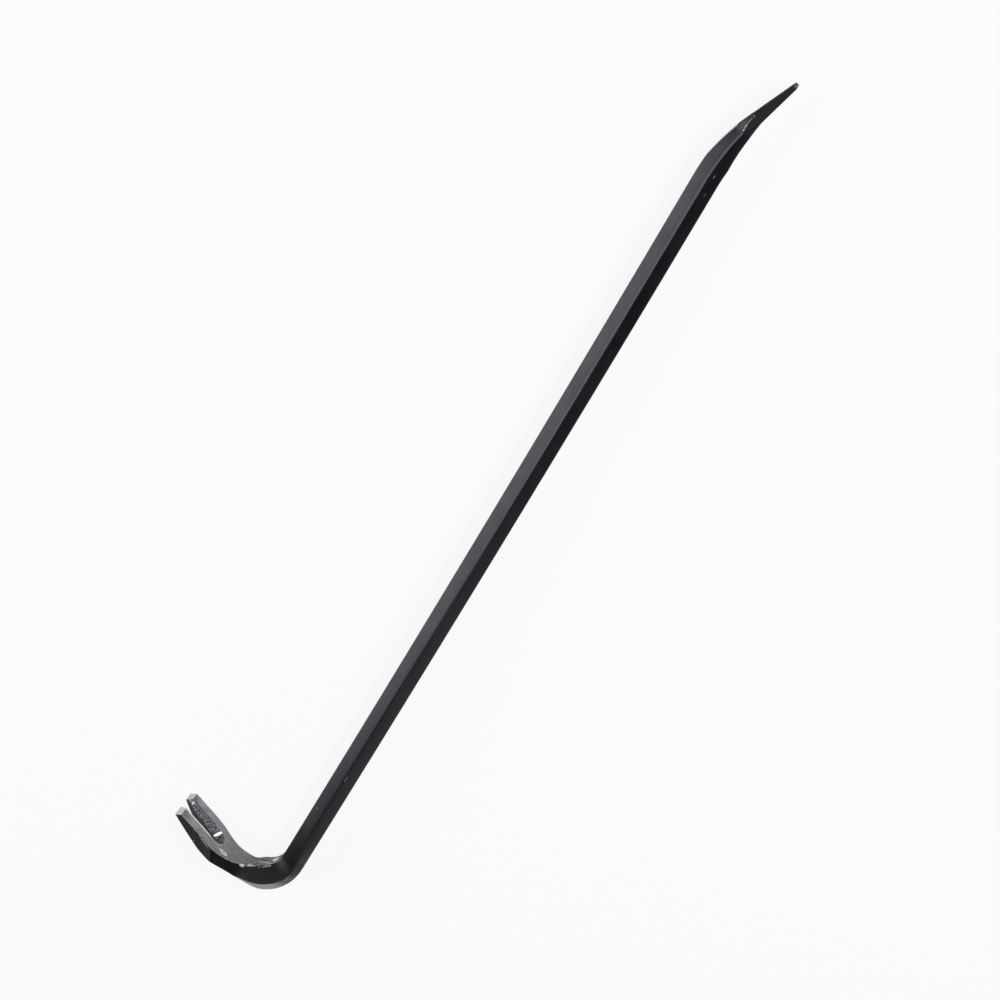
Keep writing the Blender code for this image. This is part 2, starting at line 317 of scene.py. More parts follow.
def stations():
    """Places along the bar where its section is set, close together where it changes."""
    spans = (
        (0.0, CHISEL_LIP, CHISEL_LIP),
        (CHISEL_LIP, CHISEL_FACET_FULL, TAPER_STEP),
        (CHISEL_FACET_FULL, CHISEL_FACET_START, TAPER_STEP),
        (CHISEL_FACET_START, CHISEL_TAPER_LENGTH, TAPER_STEP),
        (CHISEL_TAPER_LENGTH, SHANK_START, TAPER_STEP),
        (SHANK_START, DRIFT_START, SHANK_STEP),
        (DRIFT_START, BEND_START, TAPER_STEP),
        (BEND_START, BULGE, BEND_STEP),
        (BULGE, BEND_END, BEND_STEP),
        (BEND_END, RIDGE_END, BEND_STEP),
        (RIDGE_END, SHOULDER_BACK, BEND_STEP),
        (SHOULDER_BACK, SHOULDER, BEND_STEP),
        (SHOULDER, CLAW_TIP - CLAW_END_SLANT, PRONG_STEP),
    )
    places = []
    for start, end, step in spans:
        count = max(1, math.ceil((end - start) / step))
        places += [start + (end - start) * i / count for i in range(count)]
    return places + [CLAW_TIP - CLAW_END_SLANT, CLAW_TIP]


(ENAMEL, RUBBED_AND_REFLECTION, EDGE, GROUND, SCUFFED, BEVEL, LOWER_WALL, MOUTH_EDGE, DULL, FLAKED, HEEL_WEAR_AND_REFLECTION,
 PAINTED_CORNER_HIGHLIGHT) = range(12)

# A face's points round the section, counted from the inner flat on either side
INNER_FLAT = {0}
INNER_EDGE = {0, 1, 2, 3, 4}
SIDE_ROUND = {5, 6, 7}
SIDE_CORNER = {5, 6, 7, 8, 9}
OUTER_HALF = {10, 11, 12, 13, 14, 15}
OUTER_EDGE = {11, 12, 13, 14, 15}
OUTER_FLAT = {15}


def finish_at(corners, start):
    """The finish of a face that starts at start and has these points round the section."""
    if corners == INNER_FLAT and start >= BEND_START:
        # The hook's inner face: rubbed enamel with a painted reflection
        return RUBBED_AND_REFLECTION
    if corners <= INNER_EDGE and start >= BEND_START:
        return EDGE
    if corners in (INNER_FLAT, OUTER_FLAT) and start < CHISEL_FACET_START:
        return DULL
    if (corners <= INNER_EDGE or corners <= OUTER_EDGE) and start < CHISEL_FACET_FULL:
        return DULL
    if corners <= SIDE_ROUND and CHISEL_FACET_FULL <= start < CHISEL_FACET_START:
        return FLAKED
    # The heel: rubbed enamel with a painted reflection of the floor
    if corners <= OUTER_HALF and HEEL_START <= start < HEEL_END:
        return HEEL_WEAR_AND_REFLECTION
    # The shank's corner carries a painted highlight line
    if corners <= SIDE_CORNER and CHISEL_FACET_START <= start < DRIFT_START:
        return PAINTED_CORNER_HIGHLIGHT
    return ENAMEL


def loft(rings):
    """One closed solid: the first ring's face is extruded from ring to ring."""
    bm = bmesh.new()
    around = bm.verts.layers.int.new("around")
    level = bm.verts.layers.int.new("level")
    start = bm.faces.new([bm.verts.new(point) for point in rings[0]])
    for index, vert in enumerate(start.verts):
        vert[around] = index
    end = start
    for count, ring in enumerate(rings[1:], 1):
        grown = bmesh.ops.extrude_face_region(bm, geom=[end])["geom"]
        if end is not start:
            bm.faces.remove(end)
        end = next(part for part in grown if isinstance(part, bmesh.types.BMFace))
        for vert, point in zip(end.verts, ring):
            vert.co = point
            vert[level] = count
    bmesh.ops.recalc_face_normals(bm, faces=bm.faces)
    return bm, around, level, (start, end)


def as_object(bm, name):
    """A bmesh made an object of the scene."""
    mesh = bpy.data.meshes.new(name)
    bm.to_mesh(mesh)
    bm.free()
    piece = bpy.data.objects.new(name, mesh)
    bpy.context.scene.collection.objects.link(piece)
    return piece


def footing(low, high):
    """The middle of a box's underside."""
    return Vector(((low[0] + high[0]) / 2, (low[1] + high[1]) / 2, low[2]))


places = stations()
bm, around, level, (chisel_end, prong_end) = loft([section_points(s) for s in places])
ring_size = len(section_corners(0.0))
for face in bm.faces:
    face.smooth = True
    corners = {min(vert[around], ring_size - 1 - vert[around]) for vert in face.verts}
    start = places[min(vert[level] for vert in face.verts)]
    face.material_index = finish_at(corners, start)
for end, material in ((chisel_end, SCUFFED), (prong_end, GROUND)):
    end.smooth = False
    end.material_index = material
lows = [min(vert.co[axis] for vert in bm.verts) for axis in range(3)]
highs = [max(vert.co[axis] for vert in bm.verts) for axis in range(3)]
in_row = footing(*cad_box) - footing(lows, highs)
bmesh.ops.translate(bm, verts=bm.verts, vec=in_row)
bar = as_object(bm, "forged_bar_finish")

# Nail slot
# Cut into the claw while hot and then filed: bevelled walls close from a wide mouth on the
# inner face to a narrow throat on the outer one, and the root is round.
SLOT_LENGTH = 54.0 * MM
SLOT_MOUTH_WIDTH = 19.2 * MM
SLOT_OFFSET = 1.5 * MM
SLOT_TIP_GAP = 14.4 * MM
SLOT_THROAT_GAP = 5.4 * MM
SLOT_FUNNEL_LENGTH = 12.0 * MM
SLOT_BEVEL_SHARE = 0.6
SLOT_BEVEL_FOOT = 2.2 * MM
SLOT_OVERRUN = 6.0 * MM
SLOT_EDGE = 0.45 * MM
SLOT_STEP = 1.3 * MM
SLOT_ARC_STEPS = 24
SLOT_LEVELS = 10
CUT_ABOVE = 6.0 * MM
CUT_BELOW = 8.0 * MM
TEAR_DEPTH = 0.12 * MM
TEAR_SIZE = 2.5 * MM
CRUMB_SIZE = 1.1 * MM
CRUMB_SHARE = 0.6
ROOT_TEAR_SHARE = 0.3
SLOT_ROOT = SLOT_LENGTH - SLOT_MOUTH_WIDTH / 2
WALL_STEPS = math.ceil((SLOT_ROOT + SLOT_OVERRUN) / SLOT_STEP)


def slot_half_width(share, back):
    """Half the slot's width, at a share of the thickness from the inner face."""
    throat = straight_between((
        (0.0, SLOT_TIP_GAP / 2),
        (SLOT_FUNNEL_LENGTH, SLOT_THROAT_GAP / 2),
    ), back)
    foot = throat + SLOT_BEVEL_FOOT * (1.0 - share) / (1.0 - SLOT_BEVEL_SHARE)
    mouth = SLOT_MOUTH_WIDTH / 2
    if share >= SLOT_BEVEL_SHARE:
        return min(mouth, throat if share >= 1.0 else foot)
    full_foot = min(mouth, throat + SLOT_BEVEL_FOOT)
    return mouth + share / SLOT_BEVEL_SHARE * (full_foot - mouth)


def slot_level(share, rise, widen):
    """The slot's outline on one level, rise above it and widened by widen."""
    run = SLOT_ROOT + SLOT_OVERRUN
    places = [-SLOT_OVERRUN + run * i / WALL_STEPS for i in range(WALL_STEPS + 1)]
    wall = [(back, slot_half_width(share, max(back, 0.0)) + widen) for back in places]
    radius = slot_half_width(share, SLOT_ROOT) + widen
    arc = []
    for step in range(1, SLOT_ARC_STEPS):
        angle = math.pi * step / SLOT_ARC_STEPS
        arc.append((SLOT_ROOT + radius * math.sin(angle), radius * math.cos(angle)))
    outline = wall + arc + [(back, -width) for back, width in reversed(wall)]
    level = []
    for back, width in outline:
        s = CLAW_TIP - back
        point, _, inward = centre_line(s)
        height = hook_section(s)[0] * (0.5 - share) + rise
        level.append(point + inward * height + ACROSS * (width - SLOT_OFFSET) + in_row)
    return level


levels = [
    slot_level(0.0, CUT_ABOVE, CUT_ABOVE + SLOT_EDGE),
    slot_level(0.0, 0.0, SLOT_EDGE),
    slot_level(0.0, -SLOT_EDGE, 0.0),
]
levels += [slot_level(count / SLOT_LEVELS, 0.0, 0.0) for count in range(1, SLOT_LEVELS + 1)]
levels += [slot_level(1.0, -CUT_BELOW, 0.0)]
bm, around, level, _ = loft(levels)
last_around = len(levels[0]) - 1
for face in bm.faces:
    face.smooth = True
    deepest = max(vert[level] for vert in face.verts)
    if deepest <= 2:
        face.material_index = MOUTH_EDGE
    elif deepest <= 2 + SLOT_BEVEL_SHARE * SLOT_LEVELS:
        face.material_index = BEVEL
    else:
        face.material_index = LOWER_WALL
bm.normal_update()
for vert in bm.verts:
    rough = noise.noise(vert.co / TEAR_SIZE) + CRUMB_SHARE * noise.noise(vert.co / CRUMB_SIZE)
    at_root = WALL_STEPS <= vert[around] <= last_around - WALL_STEPS
    vert.co += vert.normal * rough * TEAR_DEPTH * (ROOT_TEAR_SHARE if at_root else 1.0)
cutter = as_object(bm, "slot_cutter")


def colour(code):
    """An sRGB hex colour as the linear one that the shader takes."""
    parts = [int(code[i:i + 2], 16) / 255 for i in (0, 2, 4)]
    return [p / 12.92 if p <= 0.04045 else ((p + 0.055) / 1.055) ** 2.4 for p in parts] + [1.0]


def add(material, kind, inputs=None, **settings):
    """Adds a node with its settings and its inputs' values or links.

    Where inputs go by number, a MapRange has its value, its range from and to, and what
    these give, and a Mix of colours has its share in 0 and its two colours in 6 and 7.
    """
    node = material.node_tree.nodes.new("ShaderNode" + kind)
    for name, value in settings.items():
        setattr(node, name, value)
    for name, value in (inputs or {}).items():
        if isinstance(value, bpy.types.NodeSocket):
            material.node_tree.links.new(value, node.inputs[name])
        else:
            node.inputs[name].default_value = value
    return node


def finish(name, code, roughness, metallic, ior=1.5):
    """A new material and its shader."""
    material = bpy.data.materials.new(name)
    material.use_nodes = True
    shader = material.node_tree.nodes["Principled BSDF"]
    shader.inputs["Base Color"].default_value = colour(code)
    shader.inputs["Roughness"].default_value = roughness
    shader.inputs["Metallic"].default_value = metallic
    shader.inputs["IOR"].default_value = ior
    return material, shader


def link(material, source, shader, name):
    """Feeds one input of a shader."""
    material.node_tree.links.new(source, shader.inputs[name])


tip, ahead, _ = centre_line(CLAW_TIP)
tip = tip + in_row
heading = math.atan2(ahead.y, ahead.x)
to_claw = Matrix.Rotation(math.pi - heading, 3, "Z")


def claw_place(material):
    """Coordinates on a prong: distance back from its tip, height over it, place across."""
    place = add(material, "TexCoord").outputs["Object"]
    start = to_claw @ tip
    turned = add(material, "Mapping", {
        "Vector": place,
        "Location": (-start.x, -start.y, 0.0),
        "Rotation": (0.0, 0.0, math.pi - heading),
    })
    return turned.outputs[0]


CHIP_GRAIN = 1.2 * MM  # about 0.3 mm on a real chip's outline: drawn coarser, to show
CHIP_RAGGED = 1.6
CHIP_OUTLINE = (1.65, 1.85)
CORE_OUTLINE = (1.3, 1.5)


def chipped(material, place, marks):
    """Share of bare steel in marks: middle and half sizes in mm, share, hollow core's share."""
    grain = add(material, "TexNoise", {"Vector": place, "Scale": 1.0 / CHIP_GRAIN, "Detail": 2.0})
    share = None
    for middle, size, full, hollow in marks:
        offset = add(material, "VectorMath", {
            0: place, 1: Vector(middle) * MM,
        }, operation="SUBTRACT")
        sized = add(material, "VectorMath", {
            0: offset.outputs[0], 1: Vector(size) * MM,
        }, operation="DIVIDE")
        far = add(material, "VectorMath", {0: sized.outputs[0]}, operation="LENGTH")
        ragged = add(material, "Math", {
            0: grain.outputs[0], 1: CHIP_RAGGED, 2: far.outputs["Value"],
        }, operation="MULTIPLY_ADD")
        low, high = CHIP_OUTLINE
        mark = add(material, "MapRange", {
            0: ragged.outputs[0], 1: low, 2: high, 3: full, 4: 0.0,
        }).outputs[0]
        if hollow:
            low, high = CORE_OUTLINE
            inside = add(material, "MapRange", {
                0: ragged.outputs[0], 1: low, 2: high, 3: hollow, 4: 0.0,
            })
            mark = add(material, "Math", {
                0: mark, 1: inside.outputs[0],
            }, operation="SUBTRACT").outputs[0]
        if share:
            mark = add(material, "Math", {0: share, 1: mark}, operation="MAXIMUM").outputs[0]
        share = mark
    return share


# Black stoving enamel, sprayed thinly over the forging and baked: deep black with a soft
# satin gloss, a little uneven over the forge scale, and bright steel where it is chipped.
ENAMEL_CODE = "0a0a0c"
STEEL_CODE = "f8f2ea"
ENAMEL_IOR = 1.54
ENAMEL_SHEEN = colour("f3f1ff")
CHIP_METAL = 0.1
CLOUD_SIZE = 22.0 * MM
enamel, shader = finish("black_stoving_enamel", ENAMEL_CODE, 0.32, 0.0, ENAMEL_IOR)
shader.inputs["Specular Tint"].default_value = ENAMEL_SHEEN
on_claw = claw_place(enamel)
# On the claw: chips on its upper side and at its shoulder, and at the back of the bend the
# rubbed patch that runs over the corner, with three dashes of steel in it
WARM_CHIP = ((77.5, 16.2, 34.9), (2.5, 2.8, 2.9), 1.0, 0.0)
CLAW_CHIPS = (
    WARM_CHIP,
    ((31.0, -3.5, 45.0), (0.6, 0.6, 0.6), 0.3, 0.0),
    ((22.5, 4.0, 45.0), (0.6, 0.8, 0.6), 0.3, 0.0),
    ((37.5, 4.0, 45.0), (6.5, 0.45, 0.6), 0.45, 0.0),
    ((88.0, 28.5, 30.4), (2.0, 3.2, 3.0), 0.08, 0.0),
    ((89.8, 32.0, 30.2), (2.2, 3.4, 3.0), 0.07, 0.0),
    ((91.8, 36.2, 29.9), (2.2, 3.4, 3.0), 0.07, 0.0),
    ((90.6, 31.4, 30.3), (0.5, 1.6, 1.5), 0.5, 0.0),
    ((91.6, 33.6, 30.2), (0.5, 1.6, 1.5), 0.5, 0.0),
    ((92.6, 35.8, 30.1), (0.5, 1.6, 1.5), 0.5, 0.0),
)
chips = chipped(enamel, on_claw, CLAW_CHIPS)
on_bar = add(enamel, "TexCoord").outputs["Object"]
# On the shank: a ring-shaped scuff, two scratches and two small chips
SHANK_CHIPS = (
    ((-341.1, -39.7, 31.2), (1.7, 1.7, 1.7), 0.1, 0.08),
    ((-296.4, -48.7, 33.6), (4.4, 0.5, 1.6), 0.2, 0.0),
    ((-56.4, -45.7, 34.0), (0.6, 0.6, 0.6), 0.16, 0.0),
    ((355.0, -50.8, 32.7), (1.5, 0.5, 0.9), 0.26, 0.0),
    ((338.0, -52.0, 32.1), (1.8, 0.5, 0.8), 0.08, 0.0),
)
more_chips = chipped(enamel, on_bar, SHANK_CHIPS)
bare = add(enamel, "Math", {0: chips, 1: more_chips}, operation="MAXIMUM").outputs[0]
tint = add(enamel, "Mix", {
    0: bare, 6: colour(ENAMEL_CODE), 7: colour(STEEL_CODE),
}, data_type="RGBA")
link(enamel, tint.outputs[2], shader, "Base Color")
metal = add(enamel, "Math", {0: bare, 1: CHIP_METAL}, operation="MULTIPLY")
link(enamel, metal.outputs[0], shader, "Metallic")
cloud = add(enamel, "TexNoise", {"Vector": on_bar, "Scale": 1.0 / CLOUD_SIZE, "Detail": 3.0})
gloss = add(enamel, "MapRange", {0: cloud.outputs[0], 1: 0.3, 2: 0.7, 3: 0.28, 4: 0.36})
link(enamel, gloss.outputs[0], shader, "Roughness")
SCALE_GRAIN = 1.6 * MM  # about 0.4 mm in real forge scale: drawn coarser, to show
SCALE_DEPTH = 0.03 * MM
scale = add(enamel, "TexNoise", {"Vector": on_bar, "Scale": 1.0 / SCALE_GRAIN, "Detail": 2.0})
relief = add(enamel, "Bump", {"Height": scale.outputs[0], "Strength": 0.5, "Distance": SCALE_DEPTH})
link(enamel, relief.outputs[0], shader, "Normal")

# The same enamel rubbed thin by nail heads and timber on the inside of the hook, with fine
# streaks along the claw. Its dull grey is partly that wear and partly a painted reflection of the
# lamp.
STREAK_WIDTH = 1.3 * MM  # real scratches are about 0.2 mm wide: drawn coarser, to show
STREAK_STRETCH = 0.12
STREAK_DEPTH = 0.03 * MM
BLOTCH_SIZE = 2.6 * MM  # about 1 mm in the worn paint: drawn coarser, to show
WAVER = 10.0 * MM
rubbed_and_reflection, shader = finish("rubbed_enamel_and_painted_reflection", "8a8789", 0.5, 0.35)
on_claw = claw_place(rubbed_and_reflection)
stretch = add(rubbed_and_reflection, "Mapping", {"Vector": on_claw, "Scale": (STREAK_STRETCH, 1.0, 1.0)})
streaks = add(rubbed_and_reflection, "TexNoise", {
    "Vector": stretch.outputs[0], "Scale": 1.0 / STREAK_WIDTH, "Detail": 3.0,
})
light_dark = add(rubbed_and_reflection, "MapRange", {0: streaks.outputs[0], 1: 0.35, 2: 0.65})
tint = add(rubbed_and_reflection, "Mix", {
    0: light_dark.outputs[0], 6: colour("7d7a7c"), 7: colour("b2aeb0"),
}, data_type="RGBA")
back, height, across = add(rubbed_and_reflection, "SeparateXYZ", {0: on_claw}).outputs
# The painted reflection fades to a darker grey towards the neck
to_neck = add(rubbed_and_reflection, "MapRange", {0: back, 1: 5.0 * MM, 2: 65.0 * MM, 3: 0.0, 4: 0.6})
tint = add(rubbed_and_reflection, "Mix", {
    0: to_neck.outputs[0], 6: tint.outputs[2], 7: colour("5c5a5c"),
}, data_type="RGBA")
# A thin bright line along the slot's mouth, except on the first part of its far side: partly
# steel rubbed by nail heads, partly a painted highlight, widest and brightest on the upper prong
SLOT_MIDDLE = tip.z - SLOT_OFFSET
RIM = SLOT_MOUTH_WIDTH / 2 + SLOT_EDGE
LINE_SOFTNESS = 0.35 * MM
past_root = add(rubbed_and_reflection, "Math", {0: back, 1: SLOT_ROOT}, operation="SUBTRACT")
past_root = add(rubbed_and_reflection, "Math", {0: past_root.outputs[0], 1: 0.0}, operation="MAXIMUM")
aside = add(rubbed_and_reflection, "Math", {0: across, 1: SLOT_MIDDLE}, operation="SUBTRACT")
from_slot = add(rubbed_and_reflection, "CombineXYZ", {0: past_root.outputs[0], 1: aside.outputs[0]})
from_slot = add(rubbed_and_reflection, "VectorMath", {0: from_slot.outputs[0]}, operation="LENGTH")
near_side = add(rubbed_and_reflection, "MapRange", {0: aside.outputs[0], 1: 6.0 * MM, 2: 9.0 * MM})
# Painted highlight with wear: the mouth's line is widened on the upper prong
line_width = add(rubbed_and_reflection, "MapRange", {0: near_side.outputs[0], 3: 0.1 * MM, 4: 1.8 * MM})
past_edge = add(rubbed_and_reflection, "Math", {
    0: from_slot.outputs["Value"], 1: line_width.outputs[0],
}, operation="SUBTRACT")
line = add(rubbed_and_reflection, "MapRange", {
    0: past_edge.outputs[0], 1: RIM, 2: RIM + LINE_SOFTNESS, 3: 1.0, 4: 0.0,
})
back_half = add(rubbed_and_reflection, "MapRange", {0: back, 1: 35.0 * MM, 2: 38.0 * MM, 3: 0.0, 4: 0.16})
front_part = add(rubbed_and_reflection, "MapRange", {0: back, 1: 37.0 * MM, 2: 40.0 * MM, 3: 1.0, 4: 0.3})
bright_near = add(rubbed_and_reflection, "Math", {
    0: near_side.outputs[0], 1: front_part.outputs[0],
}, operation="MULTIPLY")
lined = add(rubbed_and_reflection, "Math", {
    0: bright_near.outputs[0], 1: back_half.outputs[0],
}, operation="MAXIMUM")
line = add(rubbed_and_reflection, "Math", {0: line.outputs[0], 1: lined.outputs[0]}, operation="MULTIPLY")
tint = add(rubbed_and_reflection, "Mix", {
    0: line.outputs[0], 6: tint.outputs[2], 7: colour("ebe7e5"),
}, data_type="RGBA")
blotches = add(rubbed_and_reflection, "TexNoise", {"Vector": on_claw, "Scale": 1.0 / BLOTCH_SIZE, "Detail": 4.0})
to_bend = add(rubbed_and_reflection, "MapRange", {0: height, 1: 12.0 * MM, 2: 24.0 * MM})
blotch = add(rubbed_and_reflection, "MapRange", {0: blotches.outputs[0], 1: 0.45, 2: 0.58})
mottled = add(rubbed_and_reflection, "Math", {0: to_bend.outputs[0], 1: blotch.outputs[0]}, operation="MULTIPLY")
tint = add(rubbed_and_reflection, "Mix", {
    0: mottled.outputs[0], 6: tint.outputs[2], 7: colour("242325"),
}, data_type="RGBA")
# A ring-shaped dent in the claw, and bare places along the back of the bend
CLAW_FACE_CHIPS = (
    ((57.4, 7.6, 34.2), (5.2, 2.8, 2.8), 1.0, 0.6),
    ((83.4, 21.2, 31.9), (3.9, 4.4, 2.6), 1.0, 1.0),
    ((92.3, 42.0, 22.5), (2.2, 4.0, 3.8), 1.0, 0.0),
    ((91.0, 35.0, 30.0), (2.2, 5.0, 1.6), 0.25, 0.0),
    ((88.5, 32.0, 26.0), (2.6, 8.0, 0.6), 0.8, 0.0),
)
bare = chipped(rubbed_and_reflection, on_claw, CLAW_FACE_CHIPS)
tint = add(rubbed_and_reflection, "Mix", {0: bare, 6: tint.outputs[2], 7: colour("f2ece8")}, data_type="RGBA")
bar_x = add(rubbed_and_reflection, "SeparateXYZ", {0: add(rubbed_and_reflection, "TexCoord").outputs["Object"]}).outputs[0]
wavering = add(rubbed_and_reflection, "Math", {
    0: blotches.outputs[0], 1: WAVER, 2: bar_x,
}, operation="MULTIPLY_ADD")
past_bend = add(rubbed_and_reflection, "MapRange", {0: wavering.outputs[0], 1: -412.0 * MM, 2: -406.0 * MM})
tint = add(rubbed_and_reflection, "Mix", {
    0: past_bend.outputs[0], 6: tint.outputs[2], 7: colour(ENAMEL_CODE),
}, data_type="RGBA")
link(rubbed_and_reflection, tint.outputs[2], shader, "Base Color")
metal = add(rubbed_and_reflection, "MapRange", {0: past_bend.outputs[0], 1: 0.0, 2: 1.0, 3: 0.35, 4: 0.0})
link(rubbed_and_reflection, metal.outputs[0], shader, "Metallic")
relief = add(rubbed_and_reflection, "Bump", {
    "Height": streaks.outputs[0], "Strength": 0.4, "Distance": STREAK_DEPTH,
})
link(rubbed_and_reflection, relief.outputs[0], shader, "Normal")

# The rounded edges of the hook's inside, where the enamel wears through first: broken
# dashes of steel on the side that is handled, old brown-black paint on the other.
DASH_SIZE = 1.5 * MM
edge, shader = finish("edge_worn_to_steel", "4a484a", 0.45, 0.3)
on_claw = claw_place(edge)
_, height, across = add(edge, "SeparateXYZ", {0: on_claw}).outputs
breaks = add(edge, "TexNoise", {"Vector": on_claw, "Scale": 1.0 / DASH_SIZE, "Detail": 3.0})
worn = add(edge, "MapRange", {0: breaks.outputs[0], 1: 0.52, 2: 0.62})
near_side = add(edge, "MapRange", {0: across, 1: 19.0 * MM, 2: 23.0 * MM})
before_bend = add(edge, "MapRange", {0: height, 1: 44.0 * MM, 2: 52.0 * MM, 3: 1.0, 4: 0.0})
shown = add(edge, "Math", {
    0: near_side.outputs[0], 1: before_bend.outputs[0],
}, operation="MULTIPLY")
bare = add(edge, "Math", {0: worn.outputs[0], 1: shown.outputs[0]}, operation="MULTIPLY")
under = add(edge, "Mix", {
    0: shown.outputs[0], 6: colour("1d1817"), 7: colour("7a7778"),
}, data_type="RGBA")
tint = add(edge, "Mix", {
    0: bare.outputs[0], 6: under.outputs[2], 7: colour("c6c2c0"),
}, data_type="RGBA")
chips = chipped(edge, on_claw, CLAW_FACE_CHIPS)
tint = add(edge, "Mix", {0: chips, 6: tint.outputs[2], 7: colour("f2ece8")}, data_type="RGBA")
warm_chip = chipped(edge, on_claw, (WARM_CHIP,))
tint = add(edge, "Mix", {0: warm_chip, 6: tint.outputs[2], 7: colour("ffeccb")}, data_type="RGBA")
link(edge, tint.outputs[2], shader, "Base Color")

# Steel ground back to bright metal on the prongs' ends, with a faint warm cast and small
# dark pits left by the grinding wheel.
PIT_SIZE = 1.2 * MM  # about 0.3 mm in ground steel: drawn coarser, to show
ground, shader = finish("ground_steel", "c8c1c2", 0.38, 0.9)
pits = add(ground, "TexNoise", {
    "Vector": claw_place(ground), "Scale": 1.0 / PIT_SIZE, "Detail": 3.0,
})
pitted = add(ground, "MapRange", {0: pits.outputs[0], 1: 0.58, 2: 0.68})
tint = add(ground, "Mix", {
    0: pitted.outputs[0], 6: colour("c8c1c2"), 7: colour("8a8484"),
}, data_type="RGBA")
link(ground, tint.outputs[2], shader, "Base Color")

# The chisel's end: enamel scuffed to a patchy, matt grey by the timber that it is driven
# into.
SCUFF_SIZE = 2.0 * MM
scuffed, shader = finish("scuffed_enamel", "3a383a", 0.7, 0.0)
on_bar = add(scuffed, "TexCoord").outputs["Object"]
patches = add(scuffed, "TexNoise", {"Vector": on_bar, "Scale": 1.0 / SCUFF_SIZE, "Detail": 3.0})
patchy = add(scuffed, "MapRange", {0: patches.outputs[0], 1: 0.42, 2: 0.6})
tint = add(scuffed, "Mix", {
    0: patchy.outputs[0], 6: colour("0e0d10"), 7: colour("413f40"),
}, data_type="RGBA")
link(scuffed, tint.outputs[2], shader, "Base Color")

# The chisel's two flats, rubbed to a dull grey black that shines little even at a slant.
dull, shader = finish("chisel_flat_rubbed_dull", "131215", 0.85, 0.0)
shader.inputs["Specular IOR Level"].default_value = 0.1

# The forged edge between the chisel's facets, where the enamel has flaked to bare steel.
FLAKE_SIZE = 2.2 * MM
flaked, shader = finish("flaked_edge", "b4afae", 0.4, 0.5)
on_bar = add(flaked, "TexCoord").outputs["Object"]
bar_x = add(flaked, "SeparateXYZ", {0: on_bar}).outputs[0]
paler = add(flaked, "MapRange", {0: bar_x, 1: 401.0 * MM, 2: 407.0 * MM})
steel = add(flaked, "Mix", {
    0: paler.outputs[0], 6: colour("e2dddb"), 7: colour("8f8b8b"),
}, data_type="RGBA")
flakes = add(flaked, "TexNoise", {"Vector": on_bar, "Scale": 1.0 / FLAKE_SIZE, "Detail": 3.0})
flaky = add(flaked, "MapRange", {0: flakes.outputs[0], 1: 0.4, 2: 0.46})
tint = add(flaked, "Mix", {
    0: flaky.outputs[0], 6: colour(ENAMEL_CODE), 7: steel.outputs[2],
}, data_type="RGBA")
link(flaked, tint.outputs[2], shader, "Base Color")
metal = add(flaked, "Math", {0: flaky.outputs[0], 1: 0.6}, operation="MULTIPLY")
link(flaked, metal.outputs[0], shader, "Metallic")

# The heel of the hook, which the bar rocks on: a pale, patchy skin that dies away towards the
# shank and the claw, partly enamel rubbed to steel and partly a painted reflection of the floor.
RUB_SIZE = 1.8 * MM
heel_wear_and_reflection, shader = finish("heel_rubbed_with_painted_reflection", "8e8b8c", 0.5, 0.5)
on_bar = add(heel_wear_and_reflection, "TexCoord").outputs["Object"]
bar_x = add(heel_wear_and_reflection, "SeparateXYZ", {0: on_bar}).outputs[0]
rubs = add(heel_wear_and_reflection, "TexNoise", {"Vector": on_bar, "Scale": 1.0 / RUB_SIZE, "Detail": 3.0})
wavering = add(heel_wear_and_reflection, "Math", {0: rubs.outputs[0], 1: WAVER, 2: bar_x}, operation="MULTIPLY_ADD")
to_shank = add(heel_wear_and_reflection, "MapRange", {0: wavering.outputs[0], 1: -417.0 * MM, 2: -408.0 * MM})
patchy = add(heel_wear_and_reflection, "MapRange", {0: rubs.outputs[0], 1: 0.42, 2: 0.58})
patches = add(heel_wear_and_reflection, "Mix", {
    0: patchy.outputs[0], 6: colour("1b1a1c"), 7: colour("7e7b7d"),
}, data_type="RGBA")
to_hook = add(heel_wear_and_reflection, "MapRange", {0: wavering.outputs[0], 1: -432.0 * MM, 2: -422.0 * MM})
# Painted reflection: pale grey along the heel, where the floor is seen at a slant
tint = add(heel_wear_and_reflection, "Mix", {
    0: to_hook.outputs[0], 6: colour("989596"), 7: patches.outputs[2],
}, data_type="RGBA")
tint = add(heel_wear_and_reflection, "Mix", {
    0: to_shank.outputs[0], 6: tint.outputs[2], 7: colour(ENAMEL_CODE),
}, data_type="RGBA")
link(heel_wear_and_reflection, tint.outputs[2], shader, "Base Color")
metal = add(heel_wear_and_reflection, "MapRange", {0: to_shank.outputs[0], 1: 0.0, 2: 1.0, 3: 0.5, 4: 0.0})
link(heel_wear_and_reflection, metal.outputs[0], shader, "Metallic")

# The corner along the shank, with a painted highlight: a fine grey line down the edge,
# plainest towards the chisel.
painted_corner_highlight, shader = finish("enamel_with_painted_corner_highlight", ENAMEL_CODE, 0.32, 0.0, ENAMEL_IOR)
shader.inputs["Specular Tint"].default_value = ENAMEL_SHEEN
on_bar = add(painted_corner_highlight, "TexCoord").outputs["Object"]
bar_x = add(painted_corner_highlight, "SeparateXYZ", {0: on_bar}).outputs[0]
to_chisel = add(painted_corner_highlight, "MapRange", {0: bar_x, 1: -200.0 * MM, 2: 100.0 * MM})
# Painted highlight: a grey line along the corner, fading out away from the chisel
tint = add(painted_corner_highlight, "Mix", {
    0: to_chisel.outputs[0], 6: colour(ENAMEL_CODE), 7: colour("5f5d65"),
}, data_type="RGBA")
link(painted_corner_highlight, tint.outputs[2], shader, "Base Color")

